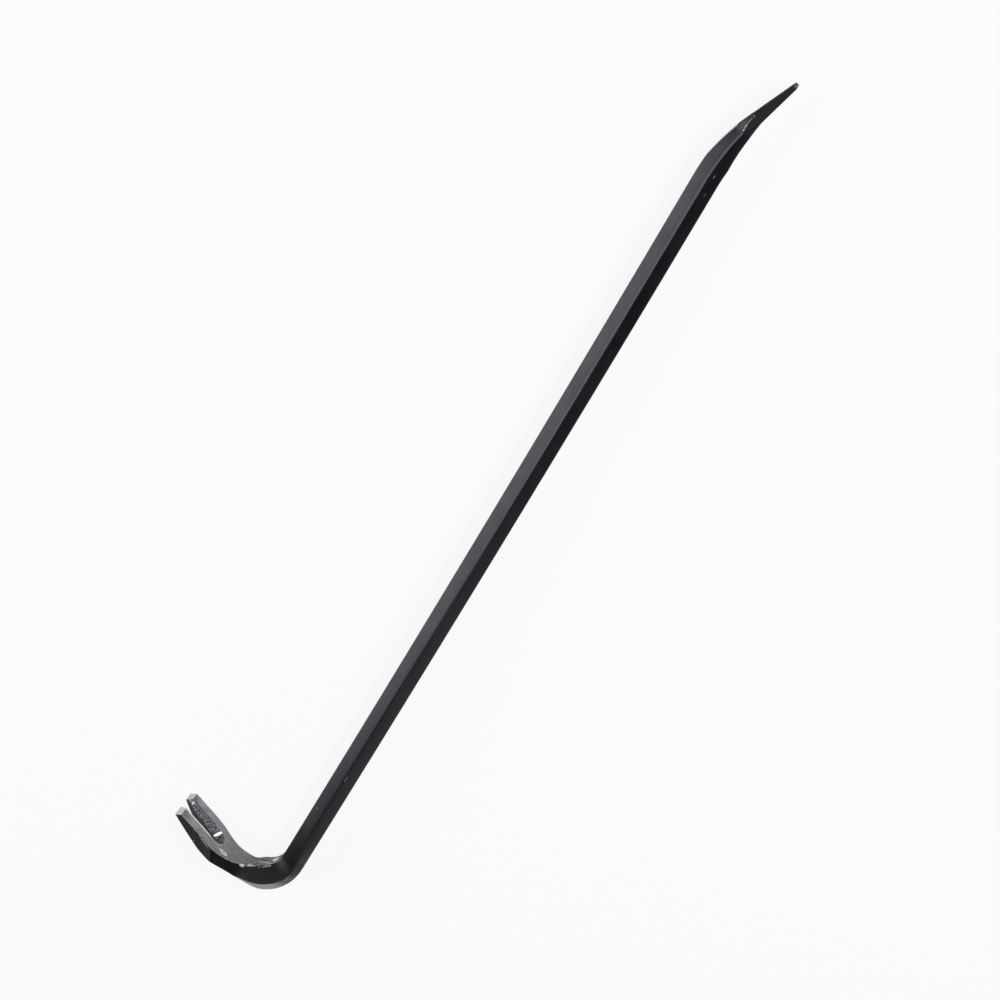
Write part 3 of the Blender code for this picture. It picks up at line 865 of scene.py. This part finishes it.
# The slot's bevel, hot cut and never dressed: a rough torn steel face under broken enamel,
# brightest at the prong's tip, with a painted highlight: one smooth near-white stripe round the
# root.
TORN_GRAIN = 1.2 * MM  # about 0.5 mm in torn steel: drawn coarser, to show
TORN_DEPTH = 0.25 * MM
TIP_WAVER = 12.0 * MM
STRIPE_BACK = 43.9 * MM
STRIPE_LEAN = -0.29
STRIPE_HALF = 1.4 * MM
STRIPE_WAVER = 1.6 * MM
STRIPE_MIDDLE = 2.8 * MM
STRIPE_REACH = 4.8 * MM
bevel, shader = finish("torn_slot_bevel_with_painted_glint", "5a585a", 0.5, 0.4)
on_claw = claw_place(bevel)
back, height, across = add(bevel, "SeparateXYZ", {0: on_claw}).outputs
crumbs = add(bevel, "TexNoise", {"Vector": on_claw, "Scale": 1.0 / TORN_GRAIN, "Detail": 3.0})
torn = add(bevel, "MapRange", {0: crumbs.outputs[0], 1: 0.42, 2: 0.58})
tint = add(bevel, "Mix", {
    0: torn.outputs[0], 6: colour("1d1c1e"), 7: colour("8c888a"),
}, data_type="RGBA")
at_tip = add(bevel, "Math", {0: crumbs.outputs[0], 1: TIP_WAVER, 2: back}, operation="MULTIPLY_ADD")
tip_bare = add(bevel, "MapRange", {
    0: at_tip.outputs[0], 1: 15.0 * MM, 2: 17.0 * MM, 3: 1.0, 4: 0.0,
})
squiggles = add(bevel, "MapRange", {0: crumbs.outputs[0], 1: 0.52, 2: 0.57})
tip_bare = add(bevel, "Math", {
    0: tip_bare.outputs[0], 1: squiggles.outputs[0],
}, operation="MULTIPLY")
# Painted highlight: a near-white stripe across the far wall where the root begins to curve
leaning = add(bevel, "Math", {0: height, 1: STRIPE_LEAN, 2: back}, operation="MULTIPLY_ADD")
wavy = add(bevel, "Math", {
    0: crumbs.outputs[0], 1: STRIPE_WAVER, 2: leaning.outputs[0],
}, operation="MULTIPLY_ADD")
beside = add(bevel, "Math", {
    0: wavy.outputs[0], 1: STRIPE_BACK + STRIPE_WAVER / 2,
}, operation="SUBTRACT")
away = add(bevel, "Math", {0: beside.outputs[0]}, operation="ABSOLUTE")
along = add(bevel, "Math", {0: height, 1: STRIPE_MIDDLE}, operation="SUBTRACT")
along = add(bevel, "Math", {0: along.outputs[0], 1: STRIPE_REACH}, operation="DIVIDE")
taper = add(bevel, "Math", {0: along.outputs[0], 1: along.outputs[0]}, operation="MULTIPLY")
away = add(bevel, "Math", {
    0: taper.outputs[0], 1: STRIPE_HALF, 2: away.outputs[0],
}, operation="MULTIPLY_ADD")
painted_glint_stripe = add(bevel, "MapRange", {
    0: away.outputs[0], 1: STRIPE_HALF - 0.1 * MM, 2: STRIPE_HALF + 0.2 * MM, 3: 1.0, 4: 0.0,
})
far_side = add(bevel, "MapRange", {0: across, 1: 19.0 * MM, 2: 21.0 * MM, 3: 1.0, 4: 0.0})
painted_glint_stripe = add(bevel, "Math", {0: painted_glint_stripe.outputs[0], 1: far_side.outputs[0]}, operation="MULTIPLY")
bare = add(bevel, "Math", {0: tip_bare.outputs[0], 1: painted_glint_stripe.outputs[0]}, operation="MAXIMUM")
# Bare steel at the tip, and the painted highlight stripe, in near white
tint = add(bevel, "Mix", {
    0: bare.outputs[0], 6: tint.outputs[2], 7: colour("f2efec"),
}, data_type="RGBA")
link(bevel, tint.outputs[2], shader, "Base Color")
polish = add(bevel, "MapRange", {0: painted_glint_stripe.outputs[0], 1: 0.0, 2: 1.0, 3: 0.55, 4: 0.42})
link(bevel, polish.outputs[0], shader, "Roughness")
metal = add(bevel, "MapRange", {0: painted_glint_stripe.outputs[0], 1: 0.0, 2: 1.0, 3: 0.4, 4: 0.85})
link(bevel, metal.outputs[0], shader, "Metallic")
smooth = add(bevel, "MapRange", {0: painted_glint_stripe.outputs[0], 1: 0.0, 2: 1.0, 3: 1.0, 4: 0.15})
torn_height = add(bevel, "Math", {0: crumbs.outputs[0], 1: smooth.outputs[0]}, operation="MULTIPLY")
relief = add(bevel, "Bump", {
    "Height": torn_height.outputs[0], "Strength": 0.6, "Distance": TORN_DEPTH,
})
link(bevel, relief.outputs[0], shader, "Normal")

# Below the bevel the slot's wall is smoother and still black.
lower_wall, shader = finish("slot_wall_enamel", "1f1e20", 0.5, 0.0)

# The slot's mouth: a thin bright line, except on the first part of its far side, partly steel
# rubbed by nail heads and partly a painted highlight on the edge.
BREAK_SIZE = 2.5 * MM
mouth_edge, shader = finish("slot_edge_worn_with_painted_highlight", "b4afae", 0.4, 0.5)
on_claw = claw_place(mouth_edge)
back, _, across = add(mouth_edge, "SeparateXYZ", {0: on_claw}).outputs
breaks = add(mouth_edge, "TexNoise", {"Vector": on_claw, "Scale": 1.0 / BREAK_SIZE, "Detail": 2.0})
near_side = add(mouth_edge, "MapRange", {0: across, 1: 19.0 * MM, 2: 21.0 * MM})
back_half = add(mouth_edge, "MapRange", {0: back, 1: 35.0 * MM, 2: 38.0 * MM})
shown = add(mouth_edge, "Math", {
    0: near_side.outputs[0], 1: back_half.outputs[0],
}, operation="MAXIMUM")
broken = add(mouth_edge, "MapRange", {0: breaks.outputs[0], 1: 0.33, 2: 0.43})
bare = add(mouth_edge, "Math", {0: shown.outputs[0], 1: broken.outputs[0]}, operation="MULTIPLY")
# Painted highlight with wear along the mouth's edge
tint = add(mouth_edge, "Mix", {
    0: bare.outputs[0], 6: colour("232224"), 7: colour("827e7e"),
}, data_type="RGBA")
link(mouth_edge, tint.outputs[2], shader, "Base Color")

for material in (enamel, rubbed_and_reflection, edge, ground, scuffed, bevel, lower_wall, mouth_edge, dull,
                 flaked, heel_wear_and_reflection, painted_corner_highlight):
    bar.data.materials.append(material)
    cutter.data.materials.append(material)

cut = bar.modifiers.new("nail_slot", "BOOLEAN")
cut.operation = "DIFFERENCE"
cut.solver = "EXACT"
cut.object = cutter
graph = bpy.context.evaluated_depsgraph_get()
cut_mesh = bpy.data.meshes.new_from_object(bar.evaluated_get(graph))
bar.modifiers.clear()
bar.data = cut_mesh
bpy.data.objects.remove(cutter, do_unlink=True)
SHARP_ANGLE = math.radians(30)
bar.data.set_sharp_from_angle(angle=SHARP_ANGLE)

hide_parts("forged_bar")
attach(bar, "root")

# Floor
# A plain white floor that turns up far away into a plain white wall all round it, so that
# level views have a pale background too.
FLOOR_RADIUS = 18.0
WALL_HEIGHT = 4.3
FACING_DOWN = -0.5
bm = bmesh.new()
bmesh.ops.create_circle(bm, cap_ends=True, segments=48, radius=FLOOR_RADIUS)
rim = bmesh.ops.extrude_edge_only(bm, edges=bm.edges[:])["geom"]
raised = [part for part in rim if isinstance(part, bmesh.types.BMVert)]
bmesh.ops.translate(bm, verts=raised, vec=(0.0, 0.0, WALL_HEIGHT))
bmesh.ops.recalc_face_normals(bm, faces=bm.faces)
bmesh.ops.reverse_faces(bm, faces=[face for face in bm.faces if face.normal.z < FACING_DOWN])
floor = as_object(bm, "floor")
WHITE_CODE = "f6f6f6"
OWN_WHITE = 0.89
table, shader = finish("white_table", WHITE_CODE, 0.9, 0.0)
# Most of its white is its own for the camera and for reflections, so the background stays
# even and the object's shadow stays soft.
path = add(table, "LightPath")
seen = add(table, "Math", {
    0: path.outputs["Is Camera Ray"], 1: path.outputs["Is Glossy Ray"],
}, operation="MAXIMUM")
seen = add(table, "Math", {
    0: seen.outputs[0], 1: path.outputs["Is Transmission Ray"],
}, operation="MAXIMUM")
share = add(table, "Math", {0: seen.outputs[0], 1: OWN_WHITE}, operation="MULTIPLY")
own = add(table, "Emission", {"Color": (1.0, 1.0, 1.0, 1.0), "Strength": 1.0})
both = add(table, "MixShader", {0: share.outputs[0], 1: shader.outputs[0], 2: own.outputs[0]})
surface = table.node_tree.nodes["Material Output"].inputs["Surface"]
table.node_tree.links.new(both.outputs[0], surface)
floor.data.materials.append(table)

# Lights
# A wide soft panel on the hook's open side and a cooler one beyond the chisel give the shank's
# two faces their tones. The ceiling and tail cards lift what faces up, the back and rim cards
# lift the hook's outside, and one small lamp makes the glints on bare steel.


def panel(name, place, aim, width, height, power, tint="ffffff"):
    """A soft lamp of width by height in metres, with its power in watts."""
    lamp = bpy.data.lights.new(name, "AREA")
    lamp.shape = "RECTANGLE"
    lamp.size = width
    lamp.size_y = height
    lamp.energy = power
    lamp.color = colour(tint)[:3]
    stand = bpy.data.objects.new(name, lamp)
    stand.location = place
    stand.rotation_euler = (Vector(aim) - Vector(place)).to_track_quat("-Z", "Y").to_euler()
    bpy.context.scene.collection.objects.link(stand)


panel("side_panel", (-0.45, 1.6, 0.95), (-0.05, 0.0, 0.0), 1.6, 1.04, 13.4)
panel("front_panel", (1.6, -0.8, 1.6), (-0.2, 0.0, 0.0), 1.4, 1.4, 30.7, "eef6ff")
# The two cards overhead aim a millimetre aside, so that their turn is settled
panel("ceiling_card", (-0.75, 0.2, 2.6), (-0.75, 0.201, 0.0), 3.4, 2.3, 10.0)
panel("tail_card", (-1.75, -0.03, 2.6), (-1.75, -0.029, 0.0), 1.5, 0.7, 2.6)
panel("back_card", (-1.06, -1.4, 0.8), (-0.2, 0.0, 0.0), 0.8, 1.1, 1.35)
panel("rim_card", (-1.5, -0.25, 0.17), (-0.4, 0.0, 0.02), 0.9, 0.3, 1.3)
panel("small_lamp", (0.29, -0.75, 1.5), (-0.43, 0.0, 0.02), 0.3, 0.3, 2.5)

WORLD_STRENGTH = 0.04
world = bpy.data.worlds.new("studio")
world.use_nodes = True
sky = world.node_tree.nodes["Background"]
sky.inputs["Color"].default_value = colour("ffffff")
sky.inputs["Strength"].default_value = WORLD_STRENGTH
bpy.context.scene.world = world

# Camera
# It stands almost two metres above the bar on the chisel's side and looks down at it, rolled
# so that the bar runs across the frame from corner to corner, as in the photo.
SENSOR_WIDTH = 36.0
FOCAL_LENGTH = 79.53
FARTHEST_SEEN = 60.0
VIEW_FROM = Vector((0.72231, -0.04849, 1.81304))
VIEW_RIGHT = Vector((0.480108, -0.855168, -0.195410))
VIEW_BACK = Vector((0.368115, -0.005788, 0.929762))
camera_data = bpy.data.cameras.new("camera")
camera_data.sensor_width = SENSOR_WIDTH
camera_data.lens = FOCAL_LENGTH
camera_data.clip_end = FARTHEST_SEEN
camera = bpy.data.objects.new("camera", camera_data)
bpy.context.scene.collection.objects.link(camera)
turn = Matrix((VIEW_RIGHT, VIEW_BACK.cross(VIEW_RIGHT), VIEW_BACK)).transposed()
camera.matrix_world = Matrix.Translation(VIEW_FROM) @ turn.to_4x4()
bpy.context.scene.camera = camera

bpy.context.scene.view_settings.view_transform = "Standard"
